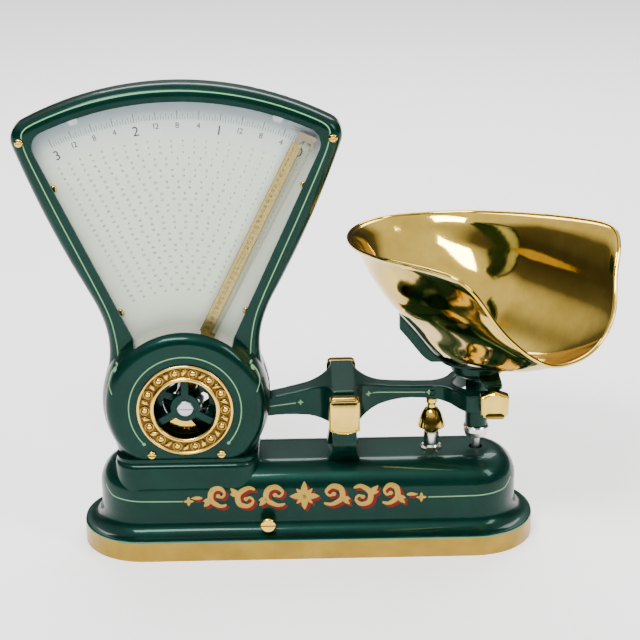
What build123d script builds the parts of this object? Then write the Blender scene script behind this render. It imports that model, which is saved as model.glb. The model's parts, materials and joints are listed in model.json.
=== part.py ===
"""Counter scale with a fan dial, a pendulum, one main lever and a loose brass scoop.

Frame: origin at the middle of the base's underside, +X towards the scoop, +Y towards
the customer's side, +Z up. The shopkeeper stands on the -Y side. Millimetres.
"""
from build123d import *
from math import cos, radians, sin, sqrt
import os

os.makedirs("parts", exist_ok=True)

# ---------------------------------------------------------------- driving dimensions
# base
base_length = 400
base_depth = 116
base_height = 79
flange_height = 19.5
flange_reach = 16
base_wall = 5
plan_radius = 56

# drum and fan housing
hub_x = -105.4
hub_z = 134.3
fan_radius = 279
fan_face = 15
frame_half = 5
rim_round = 9.5
drum_radius = 72.8
drum_face = 36
shell = 3.5
pad_top = 85
window_radius = 265
window_corner = (123.6, 234.4)
window_foot = (30.0, 28.2)

# lever train
fulcrum_x = 31.1
fulcrum_z = 134
load_x = 159.5
load_z = 141
stem_x = 149
nose_arm = 126
lever_travel = 4.0
index_sweep = 49.2
cap_inner = 40
cap_outer = 51
damper_x = 109.5
damper_z = 134
link_length = 20
running = 0.05
adjust_x = -36
adjust_z = 30.5
adjust_shank = 3

# scoop
scoop_x = 141.4
scoop_turn = 51.6
scoop_wall = 1.6
scoop_floor = 166

# ---------------------------------------------------------------- derived places
hub_plane = Plane(origin=(hub_x, 0, hub_z), x_dir=(1, 0, 0), z_dir=(0, -1, 0))
hub_axis = Axis((hub_x, 0, hub_z), (0, 1, 0))
hub_section = Plane(origin=(hub_x, 0, hub_z), x_dir=(1, 0, 0), z_dir=(0, 0, 1))
index_rest = index_sweep / 2
nose_rise = nose_arm * sin(radians(lever_travel))
crank_radius = nose_rise / (2 * sin(radians(index_rest)))
crank_x = hub_x + crank_radius * cos(radians(index_rest))
crank_z = hub_z - crank_radius * sin(radians(index_rest))
nose_x = fulcrum_x - nose_arm
nose_z = crank_z - link_length


def save(piece, node):
    """Label a finished piece and write its STEP file."""
    piece.label = node
    export_step(piece, f"parts/{node}.step")


def front(depth):
    """Plane at y = -depth, facing the shopkeeper, centred on the hub."""
    return hub_plane.offset(depth)


def side(y, x=0, z=0):
    """Plane at the given y with x to the right and z up, facing -Y."""
    return Plane(origin=(x, y, z), x_dir=(1, 0, 0), z_dir=(0, -1, 0))


def save_pair(piece, node):
    """Save a piece of the shopkeeper's side, and its mirror image on the customer's side."""
    save(piece, f"{node}_front")
    with BuildPart() as other:
        add(piece)
        mirror(about=Plane.XZ, mode=Mode.REPLACE)
    save(other.part, f"{node}_rear")


# ---------------------------------------------------------------- base
wall_length = base_length - 2 * flange_reach
wall_depth = base_depth - 2 * flange_reach
wall_radius = plan_radius - flange_reach
base_ceiling = base_height - base_wall
top_round = 24
flange_round = 2
cove_round = 13
pad_length = 126
pad_half = 41
pad_corner = 20
pad_edge = 5
stem_hole = 6
damper_hole = 9

with BuildPart() as base_hollow:
    with BuildSketch(Plane.XY):
        RectangleRounded(wall_length - 2 * base_wall, wall_depth - 2 * base_wall, wall_radius - base_wall)
    extrude(amount=base_ceiling)
    fillet(base_hollow.edges().group_by(Axis.Z)[-1], top_round - base_wall)

with BuildPart() as base:
    with BuildSketch(Plane.XY):
        RectangleRounded(base_length, base_depth, plan_radius)
    extrude(amount=flange_height)
    fillet(base.edges().group_by(Axis.Z)[-1], flange_round)
    with BuildSketch(Plane.XY.offset(flange_height)):
        RectangleRounded(wall_length, wall_depth, wall_radius)
    extrude(amount=base_height - flange_height)
    fillet(base.edges().group_by(Axis.Z)[-1], top_round)
    cove = base.edges().filter_by_position(Axis.Z, flange_height - 0.1, flange_height + 0.1)
    fillet(cove, cove_round)
    with BuildSketch(Plane.XY.offset(base_ceiling - 20)):
        with Locations((hub_x, 0)):
            RectangleRounded(pad_length, 2 * pad_half, pad_corner)
    extrude(amount=pad_top - base_ceiling + 20)
    fillet(base.faces().sort_by(Axis.Z)[-1].edges(), pad_edge)
    add(base_hollow.part, mode=Mode.SUBTRACT)
    with BuildSketch(Plane.XY):
        with Locations((stem_x, 0)):
            Circle(stem_hole)
        with Locations((damper_x, 0)):
            Circle(damper_hole)
    extrude(amount=pad_top, mode=Mode.SUBTRACT)
    with BuildSketch(side(-base_depth / 2, adjust_x, adjust_z)):
        Circle(adjust_shank + running)
    extrude(amount=-30, mode=Mode.SUBTRACT)
save(base.part, "base")

with BuildPart() as base_plate:
    with BuildSketch(Plane.XY):
        RectangleRounded(wall_length - 2 * base_wall, wall_depth - 2 * base_wall, wall_radius - base_wall)
    extrude(amount=1.6)
save(base_plate.part, "base_plate")

# ---------------------------------------------------------------- fan and drum housing
fan_corner_x = 140.8
fan_corner_z = sqrt(fan_radius**2 - fan_corner_x**2)
foot_drop = hub_z - pad_top
outline_drum = drum_radius - 0.5
neck_join = 22


def fan_outline():
    """Outline of the fan down to where its neck runs into the drum, centred on the hub."""
    with BuildSketch() as shape:
        with BuildLine():
            middle = (fan_radius * sin(0.25), fan_radius * cos(0.25))
            arc = ThreePointArc((0, fan_radius), middle, (fan_corner_x, fan_corner_z))
            leg = ThreePointArc(arc @ 1, (107.6, 155.3), (79, 96.7))
            join = (sqrt(outline_drum**2 - neck_join**2), neck_join)
            neck = Spline(leg @ 1, (65.3, 55), join, tangents=(leg % 1, (join[1], -join[0])))
            Line(neck @ 1, (0, neck_join))
            mirror(about=Plane.YZ)
        make_face()
        corners = shape.vertices().filter_by_position(Axis.Y, fan_corner_z - 1, fan_corner_z + 1)
        fillet([v for v in corners if abs(v.X) > 100], 16)
    return shape.sketch


def foot_outline():
    """Outline of the skirt that carries the drum down to the base pad, centred on the hub."""
    with BuildSketch() as shape:
        with BuildLine():
            Polyline((-64.5, -33), (64.5, -33), (60, -foot_drop), (-60, -foot_drop), close=True)
        make_face()
    return shape.sketch


def housing_outline():
    """Outline of the fan, the drum and its foot, centred on the hub."""
    with BuildSketch() as shape:
        add(fan_outline())
        Circle(outline_drum)
        add(foot_outline())
        with Locations((0, -foot_drop - 20)):
            Rectangle(200, 40, mode=Mode.SUBTRACT)
    return shape.sketch


def window_outline(grow=0.0):
    """Outline of the fan window, centred on the hub, grown all round."""
    x0, z0 = window_foot
    x1, z1 = window_corner
    with BuildSketch() as shape:
        with BuildLine():
            Polyline((-x1, z1), (-x0, z0), (x0, z0), (x1, z1))
            ThreePointArc((x1, z1), (0, window_radius), (-x1, z1))
        make_face()
        fillet(shape.vertices().group_by(Axis.Y)[-1], 14)
        if grow:
            offset(amount=grow, mode=Mode.REPLACE)
    return shape.sketch


def drum_profile(inset=0.0):
    """Half section of the drum's front half: x is the radius, y the depth."""
    r = drum_radius - inset
    face = -(drum_face - inset)
    with BuildSketch() as shape:
        with BuildLine():
            shoulder = ThreePointArc((r, -12), (r - 1.1, -20), (r - 3.6, -27))
            edge = ThreePointArc(shoulder @ 1, (r - 6.6, face + 3), (r - 13, face))
            Polyline(edge @ 1, (0, face), (0, -frame_half), (r, -frame_half), (r, -12))
        make_face()
    return shape.sketch


fan = fan_outline()
outline = housing_outline()
window = window_outline()
cavity = window_outline(7)
hole_radius = 29
screw_spots = [(129.5, 232), (-129.5, 232), (30.1, -42), (-30.1, -42)]

screw_radius = 2
head_radius = 3.8
corner_seat = 13
corner_spots = [(129.5, 232), (-129.5, 232)]
foot_spots = [(30.1, -42), (-30.1, -42)]
chart_spots = [(104.8, 189.3), (-104.8, 189.3), (53.9, 77.8), (-53.9, 77.8)]
foot_depth = drum_face - 4
foot_round = 20
lip_length = 123
lip_half = 37.6
lip_corner = 16
lip_thickness = 3.2

with BuildPart() as cover_foot:
    with BuildSketch(front(frame_half)):
        add(foot_outline())
    extrude(amount=foot_depth - frame_half)
    front_rim = cover_foot.faces().sort_by(Axis.Y)[0].edges()
    fillet([e for e in front_rim if abs((e @ 0.5).X - hub_x) > 50], foot_round)

with BuildPart() as front_cover:
    with BuildSketch(front(frame_half)):
        add(fan)
    extrude(amount=fan_face - frame_half)
    rim_edges = front_cover.faces().sort_by(Axis.Y)[0].outer_wire().edges()
    fillet([e for e in rim_edges if (e @ 0.5).Z > hub_z + neck_join + 1], rim_round)
    with BuildSketch(hub_section):
        add(drum_profile())
    revolve(axis=hub_axis)
    add(cover_foot.part)
    with BuildSketch(front(frame_half)):
        with Locations((0, -foot_drop - 20)):
            Rectangle(200, 40)
    extrude(amount=60, mode=Mode.SUBTRACT)
    with BuildSketch(Plane.XY.offset(pad_top)):
        with Locations((hub_x, 0)):
            RectangleRounded(lip_length, 2 * lip_half, lip_corner)
        with Locations((hub_x, lip_half - frame_half)):
            Rectangle(lip_length, 2 * lip_half, mode=Mode.SUBTRACT)
    extrude(amount=lip_thickness)
    with BuildSketch(front(frame_half)):
        add(cavity)
    extrude(amount=7.7, mode=Mode.SUBTRACT)
    with BuildSketch(hub_section):
        add(drum_profile(shell))
    revolve(axis=hub_axis, mode=Mode.SUBTRACT)
    with BuildSketch(front(0)):
        add(window)
        Circle(drum_radius - 6, mode=Mode.SUBTRACT)
    extrude(amount=30, mode=Mode.SUBTRACT)
    with BuildSketch(front(0)):
        Circle(hole_radius)
    extrude(amount=60, mode=Mode.SUBTRACT)
    with BuildSketch(front(corner_seat)):
        with Locations(*corner_spots):
            Circle(head_radius + 0.2)
    extrude(amount=10, mode=Mode.SUBTRACT)
    with BuildSketch(front(0)):
        with Locations(*corner_spots, *foot_spots):
            Circle(screw_radius)
    extrude(amount=60, mode=Mode.SUBTRACT)
    with BuildSketch(front(0)):
        with Locations((65, -7)):
            Rectangle(30, 36)
    extrude(amount=12, mode=Mode.SUBTRACT)
save_pair(front_cover.part, "cover")

web_half = 1.5
chart_thickness = 1
chart_hole = 52
with BuildPart() as housing_frame:
    with BuildSketch(front(-frame_half)):
        add(outline)
    extrude(amount=2 * frame_half)
    with BuildSketch(front(web_half), front(-frame_half)):
        add(cavity)
    extrude(amount=frame_half - web_half, mode=Mode.SUBTRACT)
    with BuildSketch(front(-frame_half)):
        Circle(drum_radius - 5)
        with Locations((65, -7)):
            Rectangle(30, 36)
    extrude(amount=2 * frame_half, mode=Mode.SUBTRACT)
    with BuildSketch(front(-frame_half)):
        with Locations((0, lip_thickness / 2 - foot_drop)):
            Rectangle(120, lip_thickness)
    extrude(amount=2 * frame_half)
    with BuildSketch(front(-web_half)):
        with Locations(*chart_spots):
            Circle(1.5)
    extrude(amount=2 * web_half, mode=Mode.SUBTRACT)
save(housing_frame.part, "housing_frame")

with BuildPart() as chart:
    with BuildSketch(front(web_half)):
        add(window_outline(6))
        Circle(chart_hole, mode=Mode.SUBTRACT)
        with Locations(*chart_spots):
            Circle(1.5, mode=Mode.SUBTRACT)
    extrude(amount=chart_thickness)
save_pair(chart.part, "chart")

chart_face = web_half + chart_thickness
with BuildPart() as chart_screws:
    with BuildSketch(front(0)):
        with Locations(*chart_spots):
            Circle(1.5)
    extrude(amount=chart_face)
    with BuildSketch(front(chart_face)):
        with Locations(*chart_spots):
            Circle(3.3)
    extrude(amount=2)
    fillet(chart_screws.edges().group_by(Axis.Y)[0], 1.6)
save_pair(chart_screws.part, "chart_screws")

glass_back = 11.2
glass_thickness = 1.5
with BuildPart() as window_glass:
    with BuildSketch(front(glass_back)):
        add(window_outline(6.5))
        Circle(drum_radius - 3, mode=Mode.SUBTRACT)
    extrude(amount=glass_thickness)
save_pair(window_glass.part, "window_glass")

clip_angle = 18.7
with BuildPart() as glass_clips:
    with BuildSketch(front(glass_back - 2)):
        with PolarLocations(264, 1, 90 - clip_angle):
            Rectangle(9, 8)
        with PolarLocations(264, 1, 90 + clip_angle):
            Rectangle(9, 8)
    extrude(amount=2)
    fillet(glass_clips.edges().filter_by(Axis.Y), 2)
save_pair(glass_clips.part, "glass_clips")


def screw(spot, seat, shank, head=head_radius, rise=2.6, slot=1.0):
    """Domed slotted screw: its head stands out from a seat at y = -seat."""
    with BuildPart() as piece:
        with BuildSketch(front(seat - shank)):
            with Locations(spot):
                Circle(screw_radius)
        extrude(amount=shank)
        with BuildSketch(front(seat)):
            with Locations(spot):
                Circle(head)
        extrude(amount=rise)
        fillet(piece.edges().group_by(Axis.Y)[0], rise * 0.75)
        with BuildSketch(front(seat + rise - 1)):
            with Locations(spot):
                Rectangle(2 * head, slot)
        extrude(amount=2, mode=Mode.SUBTRACT)
    return piece.part


with BuildPart() as cover_screws:
    for spot in corner_spots:
        add(screw(spot, corner_seat, 7))
    for spot in foot_spots:
        add(screw(spot, drum_face, 6))
save_pair(cover_screws.part, "cover_screws")

# ---------------------------------------------------------------- round window of the drum
bezel_outer = 41.7
bezel_inner = 26.5
with BuildPart() as bezel_ring:
    with BuildSketch(hub_section):
        with BuildLine():
            Polyline((bezel_outer, -drum_face), (bezel_inner, -drum_face), (bezel_inner, -drum_face - 1.2))
            lip = ThreePointArc((bezel_inner, -drum_face - 1.2), (bezel_inner + 1.6, -drum_face - 2.8),
                                (bezel_inner + 3.2, -drum_face - 1.8))
            band = ThreePointArc(lip @ 1, (34, -drum_face - 3.2), (bezel_outer - 3, -drum_face - 1.8))
            ThreePointArc(band @ 1, (bezel_outer - 1.2, -drum_face - 2.6), (bezel_outer, -drum_face))
        make_face()
    revolve(axis=hub_axis)
save_pair(bezel_ring.part, "bezel_ring")

spider_back = 29
spider_ring = drum_face - shell
boss_radius = 12.5
cup_radius = 5
with BuildPart() as bearing_spider:
    with BuildSketch(front(spider_back)):
        Circle(36)
        Circle(30, mode=Mode.SUBTRACT)
        with PolarLocations(21, 3, 90):
            Rectangle(24, 6)
        Circle(boss_radius)
        Circle(cup_radius, mode=Mode.SUBTRACT)
    extrude(amount=spider_ring - spider_back)
    with BuildSketch(front(spider_back - 3)):
        Circle(boss_radius - 2)
        Circle(cup_radius, mode=Mode.SUBTRACT)
    extrude(amount=3)
    fillet(bearing_spider.edges().group_by(Axis.Y)[0].filter_by(GeomType.CIRCLE).sort_by(SortBy.RADIUS)[1], 1)
save_pair(bearing_spider.part, "bearing_spider")

shaft_radius = 2.5
shaft_half = 30
with BuildPart() as pivot_screw:
    with BuildSketch(front(spider_back - 3)):
        Circle(cup_radius)
    extrude(amount=spider_ring - spider_back + 3)
    with BuildSketch(front(spider_ring)):
        Circle(7)
    extrude(amount=2.2)
    fillet(pivot_screw.edges().group_by(Axis.Y)[0], 1.4)
    with BuildSketch(front(spider_ring + 1.2)):
        Rectangle(14, 1.4)
    extrude(amount=3, mode=Mode.SUBTRACT)
    with BuildSketch(front(spider_back - 3)):
        Circle(shaft_radius + running)
    extrude(amount=shaft_half + 0.5 - spider_back + 3, mode=Mode.SUBTRACT)
save_pair(pivot_screw.part, "pivot_screw")

# ---------------------------------------------------------------- pendulum and indexes
with BuildPart() as pendulum_shaft:
    with BuildSketch(front(-shaft_half)):
        Circle(shaft_radius)
    extrude(amount=2 * shaft_half)
    chamfer(pendulum_shaft.edges(), 0.4)
save(pendulum_shaft.part, "pendulum_shaft")

hub_radius = 9
hub_half = 20
neck_hub = 4.4
crank_back = 3.6
crank_front = 6.2
pin_radius = 1.6
crank_spot = (crank_x - hub_x, crank_z - hub_z)
with BuildPart() as pendulum_wheel:
    with BuildSketch(front(-hub_half)):
        Circle(hub_radius)
    extrude(amount=2 * hub_half)
    with BuildSketch(front(crank_back)):
        Circle(hub_radius + 1)
        with Locations(crank_spot):
            Circle(4.5)
        with Locations((crank_spot[0] / 2, crank_spot[1] / 2)):
            Rectangle(crank_radius, 8)
    extrude(amount=crank_front - crank_back)
    with BuildSketch(front(15)):
        Circle(26)
        Circle(20, mode=Mode.SUBTRACT)
        with PolarLocations(14, 3, 40):
            Rectangle(14, 6)
    extrude(amount=3)
    with BuildSketch(front(-1.5)):
        Circle(hub_radius + 1)
        Circle(neck_hub, mode=Mode.SUBTRACT)
    extrude(amount=crank_back + 1.5, mode=Mode.SUBTRACT)
    with BuildSketch(front(-hub_half)):
        Circle(shaft_radius)
    extrude(amount=2 * hub_half, mode=Mode.SUBTRACT)
    with BuildSketch(front(crank_back)):
        with Locations(crank_spot):
            Circle(pin_radius)
    extrude(amount=crank_front - crank_back, mode=Mode.SUBTRACT)
save(pendulum_wheel.part, "pendulum_wheel")

with BuildPart() as crank_pin:
    with BuildSketch(front(-1)):
        with Locations(crank_spot):
            Circle(pin_radius)
    extrude(amount=crank_front + 1)
save(crank_pin.part, "crank_pin")

weight_outer = 42
with BuildPart() as pendulum_weight:
    with BuildSketch(front(18)):
        with BuildLine():
            outer = CenterArc((0, 0), weight_outer, -140, 80)
            inner = CenterArc((0, 0), 15, -125, 50)
            Line(outer @ 0, inner @ 0)
            Line(outer @ 1, inner @ 1)
        make_face()
    extrude(amount=6)
    fillet(pendulum_weight.edges().filter_by(Axis.Y), 1.5)
    with BuildSketch(front(18)):
        with Locations((0, -24)):
            Circle(2.5)
    extrude(amount=7.5)
save(pendulum_weight.part, "pendulum_weight")

index_back = 6.6
index_thickness = 0.8
index_top = 259
with BuildSketch() as index_outline:
    with BuildLine():
        Polyline((-4, 8), (-4, 50), (-13.4, 62), (-8, index_top - 8), (-4, index_top),
                 (6, index_top), (10, index_top - 8), (6, 62), (4, 50), (4, 8), close=True)
    make_face()

with BuildPart() as index_plate:
    with BuildSketch(front(index_back)):
        add(index_outline.sketch, rotation=-index_rest)
        Circle(hub_radius + 4)
        Circle(hub_radius, mode=Mode.SUBTRACT)
    extrude(amount=index_thickness)
save_pair(index_plate.part, "index")

# ---------------------------------------------------------------- lever
nose_pin_radius = 1.5
tongue = (0.3, 6.3)
cross_reach = 37
fork_outer = 38
fork_inner = 26
arm_half = 7.6
knife_tip = (3.2, 5.5, 2.4, 9)


def knife_outline(x, z, sense):
    """Section of a knife edge with its tip at (x, z); sense is +1 when the tip points down."""
    a, b, c, d = knife_tip
    with BuildSketch() as shape:
        with BuildLine():
            Polyline((x, z), (x + a, z + sense * b), (x + c, z + sense * d),
                     (x - c, z + sense * d), (x - a, z + sense * b), close=True)
        make_face()
    return shape.sketch


def seat_outline(x, z, sense, height=8):
    """Section of the V block under (sense +1) or over (sense -1) a knife edge."""
    with BuildSketch() as shape:
        with BuildLine():
            Polyline((x - 6, z - sense * height), (x + 6, z - sense * height), (x + 6, z + sense * 3.4),
                     (x, z - sense * 0.06), (x - 6, z + sense * 3.4), close=True)
        make_face()
    return shape.sketch


with BuildPart() as lever:
    with BuildSketch(Plane.XY.offset(90)):
        with BuildLine():
            edge = Polyline((nose_x - 6, 0), (nose_x - 6, -7), (-3, -9.5))
            hub_in = ThreePointArc(edge @ 1, (14, -16), (21, -cross_reach))
            hub_end = Line(hub_in @ 1, (41, -cross_reach))
            hub_out = ThreePointArc(hub_end @ 1, (46, -17), (62, -arm_half))
            arm = Line(hub_out @ 1, (108, -arm_half))
            fork = Spline(arm @ 1, (126, -19), (142, -fork_outer), (152, -fork_outer),
                          tangents=((1, 0), (1, 0)))
            tip = Polyline(fork @ 1, (166, -fork_outer), (166, -fork_inner), (150, -fork_inner))
            ThreePointArc(tip @ 1, (134, -15), (127, 0))
            mirror(about=Plane.XZ)
        make_face()
    extrude(amount=80)
    with BuildSketch(side(60)) as profile:
        with BuildLine():
            top = Spline((nose_x - 6, nose_z + 5), (-60, 126), (-34, 132.5), (-3, 139.6), (22, 149))
            crown = Line(top @ 1, (41, 149))
            back = Spline(crown @ 1, (58, 143.2), (81.5, 141), (120, 141), (150, 143.4), (167, 144))
            end = Line(back @ 1, (167, 131))
            under = Spline(end @ 1, (150, 127.4), (128, 126.6), (110, 128.2), (85, 129.3), (62, 123.5), (46, 114))
            belly = Line(under @ 1, (14, 114))
            low = Spline(belly @ 1, (-3, 116), (-34, 115), (-64, 109), (nose_x - 6, nose_z - 5))
            Line(low @ 1, top @ 0)
        make_face()
    extrude(amount=120, mode=Mode.INTERSECT)
    with BuildSketch(side(cap_inner)):
        add(knife_outline(fulcrum_x, fulcrum_z, 1))
        add(knife_outline(load_x, load_z, -1))
    extrude(amount=2 * cap_inner, mode=Mode.SUBTRACT)
    with BuildSketch(Plane.XY.offset(90)):
        with Locations((nose_x, tongue[1] + 5)):
            Rectangle(18, 10)
        with Locations((nose_x, tongue[0] - 5)):
            Rectangle(18, 10)
    extrude(amount=60, mode=Mode.SUBTRACT)
    with BuildSketch(Plane.XY.offset(100)):
        with Locations((damper_x, 0)):
            Rectangle(11, 8)
    extrude(amount=damper_z + 5 - 100, mode=Mode.SUBTRACT)
    with BuildSketch(side(20)):
        with Locations((damper_x, damper_z)):
            Circle(2)
    extrude(amount=40, mode=Mode.SUBTRACT)
save(lever.part, "lever")


def bars(sketch, inner, outer):
    """Two equal bars of one section, one on each side, between two distances from the middle."""
    with BuildPart() as piece:
        with BuildSketch(side(-inner)):
            add(sketch)
        extrude(amount=outer - inner)
        mirror(about=Plane.XZ)
    return piece.part


knife_end = 48.5
seat_inner = 42.5
seat_outer = 47.5
seat_top = 145.2
save(bars(knife_outline(fulcrum_x, fulcrum_z, 1), 28, knife_end), "fulcrum_knives")
save(bars(knife_outline(load_x, load_z, -1), 27, knife_end), "load_knives")
save(bars(seat_outline(fulcrum_x, fulcrum_z, 1), seat_inner, seat_outer), "fulcrum_bearings")
save(bars(seat_outline(load_x, load_z, -1, seat_top - load_z), seat_inner, seat_outer), "load_bearings")

with BuildPart() as nose_pin:
    with BuildSketch(side(tongue[0])):
        with Locations((nose_x, nose_z)):
            Circle(nose_pin_radius)
    extrude(amount=3.8)
save(nose_pin.part, "nose_pin")

# the upper eye is loose by the amount that the two pins' paths differ
eye_radius = 2.8
with BuildPart() as draw_link:
    with BuildSketch(side(-0.2)):
        with BuildLine():
            Polyline((nose_x - 2.5, nose_z), (nose_x - 2.5, crank_z), (nose_x + 2.5, crank_z),
                     (nose_x + 2.5, nose_z), close=True)
        make_face()
        with Locations((nose_x, nose_z)):
            Circle(3.6)
        with Locations((nose_x, crank_z)):
            Circle(4.6)
        with Locations((nose_x, nose_z)):
            Circle(nose_pin_radius + running, mode=Mode.SUBTRACT)
        with Locations((nose_x, crank_z)):
            Circle(eye_radius, mode=Mode.SUBTRACT)
    extrude(amount=2.8)
save(draw_link.part, "draw_link")

# ---------------------------------------------------------------- fulcrum posts and caps
post_half = 10.5
post_spread = 15
post_inner = 41.8
post_outer = 49.2
post_low = 76.2
post_top = fulcrum_z - 8
with BuildPart() as fulcrum_post:
    with BuildSketch(Plane(origin=(fulcrum_x + post_spread, 0, 0), x_dir=(0, -1, 0), z_dir=(-1, 0, 0))):
        with BuildLine():
            face = Polyline((post_inner, post_top), (post_outer, post_top), (post_outer, 112))
            lean = Spline(face @ 1, (39, 94), (23.5, 78), tangents=((0, -1), (-0.7, -1)))
            sole = Polyline(lean @ 1, (23.5, post_low), (6, post_low), (6, 77))
            Spline(sole @ 1, (27, 92), (post_inner, 113), tangents=((0.8, 0.5), (0, 1)))
            Line((post_inner, 113), (post_inner, post_top))
        make_face()
    extrude(amount=2 * post_spread)
    with BuildSketch(side(60, fulcrum_x)):
        with BuildLine():
            edge = Polyline((0, post_top), (post_half, post_top), (post_half, 102))
            spread = Spline(edge @ 1, (post_spread, 77), tangents=((0, -1), (0.5, -1)))
            Polyline(spread @ 1, (post_spread, post_low), (0, post_low))
            mirror(about=Plane.YZ)
        make_face()
    extrude(amount=120, mode=Mode.INTERSECT)
    add(base.part, mode=Mode.SUBTRACT)
save_pair(fulcrum_post.part, "fulcrum_post")

yoke_end = 48.9


def fulcrum_cap_outline():
    """Front outline of the cover on a post, centred on the fulcrum: flat top, bowed foot."""
    with BuildSketch() as shape:
        with BuildLine():
            Polyline((13.2, -17), (13.2, 13.2), (-13.2, 13.2), (-13.2, -17))
            ThreePointArc((-13.2, -17), (0, -21), (13.2, -17))
        make_face()
        fillet(shape.vertices().group_by(Axis.Y)[-1], 5)
    return shape.sketch


def load_cap_outline(inset=0.0):
    """Front outline of the cover on the pan holder, centred on the load edge: gabled top."""
    with BuildSketch() as shape:
        with BuildLine():
            Polyline((0, 10.2), (12.3, 5.5), (11.8, -11), (8, -15),
                     (-8, -15), (-11.8, -11), (-12.3, 5.5), close=True)
        make_face()
        if inset:
            offset(amount=-inset, kind=Kind.INTERSECTION, mode=Mode.REPLACE)
    return shape.sketch


with BuildPart() as fulcrum_cap:
    with BuildSketch(side(-cap_inner, fulcrum_x, fulcrum_z)):
        add(fulcrum_cap_outline())
    extrude(amount=cap_outer - cap_inner)
    fillet(fulcrum_cap.faces().sort_by(Axis.Y)[0].edges(), 4.5)
    with BuildSketch(side(-cap_inner, fulcrum_x, fulcrum_z)):
        with Locations((0, -6)):
            Rectangle(2 * post_half + 0.4, 34.4)
    extrude(amount=post_outer - cap_inner, mode=Mode.SUBTRACT)
save_pair(fulcrum_cap.part, "fulcrum_cap")

cap_shell = 1.7
cap_slope = (10.2 - 5.5) / 12.3
load_cap_inner_top = 10.2 - cap_shell * sqrt(1 + cap_slope**2)
with BuildPart() as load_cap:
    with BuildSketch(side(-cap_inner, load_x, load_z)):
        add(load_cap_outline())
    extrude(amount=cap_outer - cap_inner)
    chamfer(load_cap.faces().sort_by(Axis.Y)[0].edges(), 1.9)
    with BuildSketch(side(-cap_inner, load_x, load_z)):
        add(load_cap_outline(cap_shell))
        with Locations((0, -14)):
            Rectangle(16, 8)
    extrude(amount=yoke_end - cap_inner, mode=Mode.SUBTRACT)
save_pair(load_cap.part, "load_cap")

# ---------------------------------------------------------------- pan holder
holder_ring = 23.5
ring_low = 157
ring_high = 162.5
yoke_low = 149
yoke_high = 153.5
yoke_half = 39
yoke_side = 6
stem_low = 100.6
stem_radius = 9.8
stem_axis = Axis((stem_x, 0, 0), (0, 0, 1))
stem_section = Plane(origin=(stem_x, 0, 0), x_dir=(1, 0, 0), z_dir=(0, -1, 0))
with BuildPart() as pan_holder:
    with BuildSketch(stem_section):
        with BuildLine():
            stem = Polyline((0, stem_low), (stem_radius, stem_low), (stem_radius, 143))
            flare = Spline(stem @ 1, (17, 149.4), tangents=((0, 1), (1, 0.2)))
            under = ThreePointArc(flare @ 1, (22, 152.4), (holder_ring, ring_low))
            Polyline(under @ 1, (holder_ring, ring_high), (0, ring_high), (0, stem_low))
        make_face()
    revolve(axis=stem_axis)
    fillet(pan_holder.edges().filter_by(GeomType.CIRCLE).group_by(Axis.Z)[-1], 1.5)
    with BuildSketch(Plane.XY.offset(yoke_low)):
        with Locations((load_x, 0)):
            RectangleRounded(15, 2 * yoke_half, 3)
    extrude(amount=yoke_high - yoke_low)
    with BuildSketch(Plane.XY.offset(yoke_high)):
        with Locations((load_x - 2, 0)):
            RectangleRounded(19, 2 * yoke_half - 2, 6)
    extrude(amount=2.5, taper=20)
    with BuildSketch(side(-yoke_half + 4, load_x, load_z), side(yoke_end, load_x, load_z)):
        with BuildLine():
            apex = load_cap_inner_top
            Polyline((0, apex), (yoke_side, apex - yoke_side * cap_slope),
                     (yoke_side, seat_top - load_z), (-yoke_side, seat_top - load_z),
                     (-yoke_side, apex - yoke_side * cap_slope), close=True)
        make_face()
    extrude(amount=yoke_end - yoke_half + 4)
save(pan_holder.part, "pan_holder")

# ---------------------------------------------------------------- scoop and its cradle
front_fullness = 0.75
bowl_levels = [
    (0, 24, 36, 24),
    (12, 39, 82, 36),
    (29, 56, 121, 48),
    (54, 86, 162, 67),
    (87, 119, 222, 82),
    (122, 142, 278, 104),
]
lift_gap = 0.3
turn = radians(scoop_turn)
scoop_along = (cos(turn), -sin(turn), 0)
scoop_plan = Plane(origin=(scoop_x, 0, 0), x_dir=scoop_along, z_dir=(0, 0, 1))
scoop_side = Plane(origin=(scoop_x, 0, 0), x_dir=scoop_along, z_dir=(-sin(turn), -cos(turn), 0))


def bowl(grow, rise):
    """Solid bowl up to above the rim, grown sideways and raised from the outer surface."""
    with BuildPart() as solid:
        for height, back, ahead, half in bowl_levels:
            b, f, w = back + grow, ahead + grow, half + grow
            k = front_fullness
            with BuildSketch(scoop_plan.offset(scoop_floor + lift_gap + height + rise)):
                with BuildLine():
                    Bezier((0, -w), (k * f, -w), (f, -k * w), (f, 0))
                    Bezier((f, 0), (f, k * w), (k * f, w), (0, w))
                    EllipticalCenterArc((0, 0), b, w, 90, arc_size=180)
                make_face()
        loft()
    return solid.part


with BuildPart() as scoop:
    add(bowl(0, 0))
    add(bowl(-0.75 * scoop_wall, 0.7 * scoop_wall), mode=Mode.SUBTRACT)
    with BuildSketch(scoop_side):
        with BuildLine():
            rim = Spline((-150, 259.5), (-85, 264), (-14, 272.2), (53, 280.6), (80, 281.5))
            horn = TangentArc(rim @ 1, (95, 266), tangent=rim % 1)
            mouth = Spline(horn @ 1, (99, 248), (115, 220), (121.5, 196),
                           tangents=(horn % 1, (0.1, -1)))
            Polyline(mouth @ 1, (121.5, 140), (320, 140), (320, 340), (-150, 340), (-150, 259.5))
        make_face()
    extrude(amount=160, both=True, mode=Mode.SUBTRACT)
save(scoop.part, "scoop")

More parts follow.
